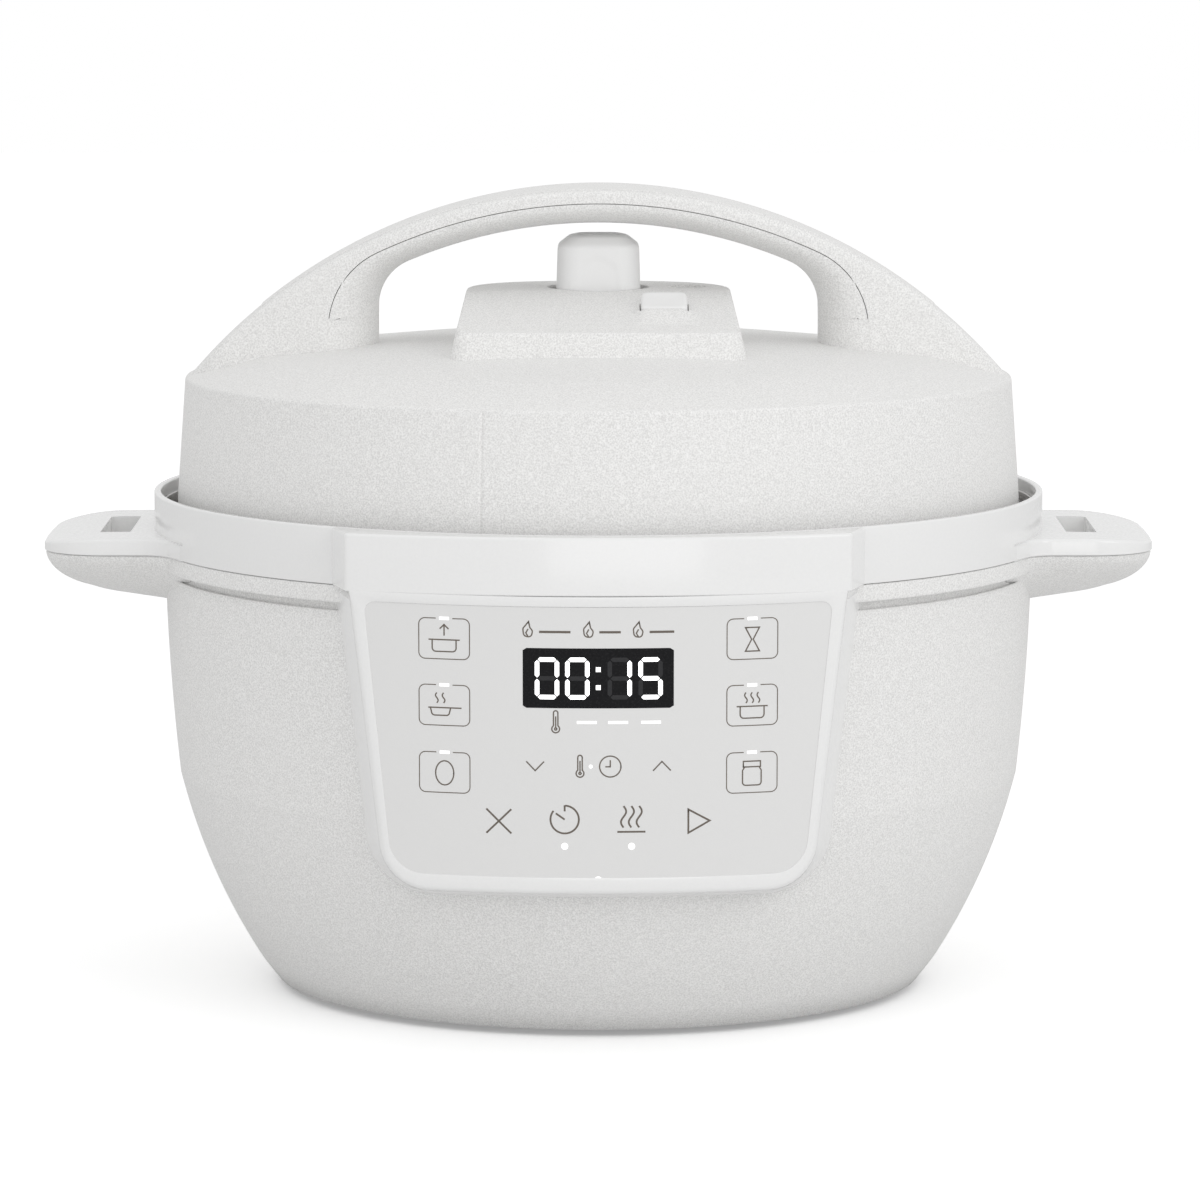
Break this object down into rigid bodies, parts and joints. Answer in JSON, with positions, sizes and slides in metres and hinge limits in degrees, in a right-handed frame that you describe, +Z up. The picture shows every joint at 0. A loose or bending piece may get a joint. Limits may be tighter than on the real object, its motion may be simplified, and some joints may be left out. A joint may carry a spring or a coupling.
{
  "type": "electric pressure cooker",
  "caption": "Wide, low electric pressure cooker with a curved touch panel, side handles, and a twist-lock lid with an arched handle and a push-button steam valve.",
  "frame": {"origin": "on the worktop, on the lid's axis, under the middle of the housing", "axes": "+Z up along the lid's axis, -Y towards the front with the panel, +X towards the right-hand side handle"},
  "size_m": [0.455, 0.3714, 0.328],
  "materials": {
    "matte_white": "fine texture",
    "gloss_white": "polished",
    "panel_glass": "printed, glossy",
    "display_black": "gloss",
    "light_guide": "frosted",
    "steel_bright": "brushed",
    "steel_dark": "satin",
    "aluminium": "cast",
    "board_green": "solder resist",
    "black_plastic": "moulded",
    "grey_cable": "flat cable",
    "rubber_grey": "moulded",
    "silicone": "translucent white",
    "brass": "plain",
    "ceramic": "plain",
    "float_red": "plain"
  },
  "bodies": {
    "base": {"outer_housing": "matte_white", "handle_collar": "matte_white", "top_ring": "gloss_white", "rim_collar": "steel_dark", "outer_pot": "steel_dark", "heating_plate": "aluminium", "heating_element": "steel_dark", "plate_supports": "steel_bright", "thermal_fuse": "ceramic", "sensor_bracket": "steel_bright", "sensor_spring": "steel_bright", "front_bezel": "gloss_white", "panel_overlay": "panel_glass", "display_module": "display_black", "light_guides": "light_guide", "control_board": "board_green", "board_screws": "steel_bright", "ribbon_cable": "grey_cable", "power_board": "board_green", "board_parts": "black_plastic", "mains_leads": "black_plastic", "power_inlet": "black_plastic", "inlet_pins": "brass", "base_plate": "black_plastic", "base_screws": "steel_bright", "rubber_feet": "rubber_grey"},
    "sensor": {"temperature_sensor": "aluminium"},
    "pot": {"inner_pot": "steel_bright"},
    "seal": {"sealing_ring": "silicone", "seal_rack": "steel_bright"},
    "lid": {"lid_cover": "matte_white", "lid_plate": "steel_bright", "lid_plate_screws": "steel_bright", "handle_frame": "matte_white", "handle_grip": "matte_white", "handle_top_cover": "matte_white", "handle_screws": "steel_bright", "valve_platform": "matte_white", "steam_pipe": "steel_bright", "pipe_nut": "steel_bright", "anti_block_shield": "steel_bright", "lever_spring": "steel_bright", "lever_pin": "steel_bright"},
    "knob": {"steam_release_knob": "gloss_white"},
    "button": {"quick_release_button": "gloss_white"},
    "lever": {"release_lever": "light_guide"},
    "float": {"float_valve": "float_red", "float_seal": "silicone"}
  },
  "joints": [
    {"name": "lid_lift", "type": "slide", "parent": "base", "child": "seal", "axis": [0, 0, 1], "range_m": [0, 0.32]},
    {"name": "lid_turn", "type": "hinge", "parent": "seal", "child": "lid", "pos_m": [0, 0, 0.2], "axis": [0, 0, 1], "range_deg": [0, 30]},
    {"name": "pot_lift", "type": "slide", "parent": "base", "child": "pot", "axis": [0, 0, 1], "range_m": [0, 0.16]},
    {"name": "sensor_rise", "type": "slide", "parent": "base", "child": "sensor", "axis": [0, 0, 1], "range_m": [0, 0.002], "deforming": ["sensor_spring"]},
    {"name": "button_press", "type": "slide", "parent": "lid", "child": "button", "axis": [0, 0, -1], "range_m": [0, 0.004], "stiffness_N_per_m": 1200, "springref_m": -0.003, "deforming": ["lever_spring"]},
    {"name": "lever_tilt", "type": "hinge", "parent": "lid", "child": "lever", "pos_m": [0.01019, -0.01846, 0.2665], "axis": [0.8754, 0.4833, 0], "range_deg": [0, 6.8]},
    {"name": "knob_rise", "type": "slide", "parent": "lid", "child": "knob", "axis": [0, 0, 1], "range_m": [0, 0.0025]},
    {"name": "float_rise", "type": "slide", "parent": "lid", "child": "float", "axis": [0, 0, 1], "range_m": [0, 0.005]}
  ],
  "couplings": [
    {"joint": "pot_lift", "follows": "lid_lift", "ratio": 0.5},
    {"joint": "sensor_rise", "follows": "lid_lift", "ratio": 0.00625},
    {"joint": "lever_tilt", "follows": "button_press", "rad_per_m": 29.637},
    {"joint": "knob_rise", "follows": "button_press", "ratio": 0.625}
  ]
}
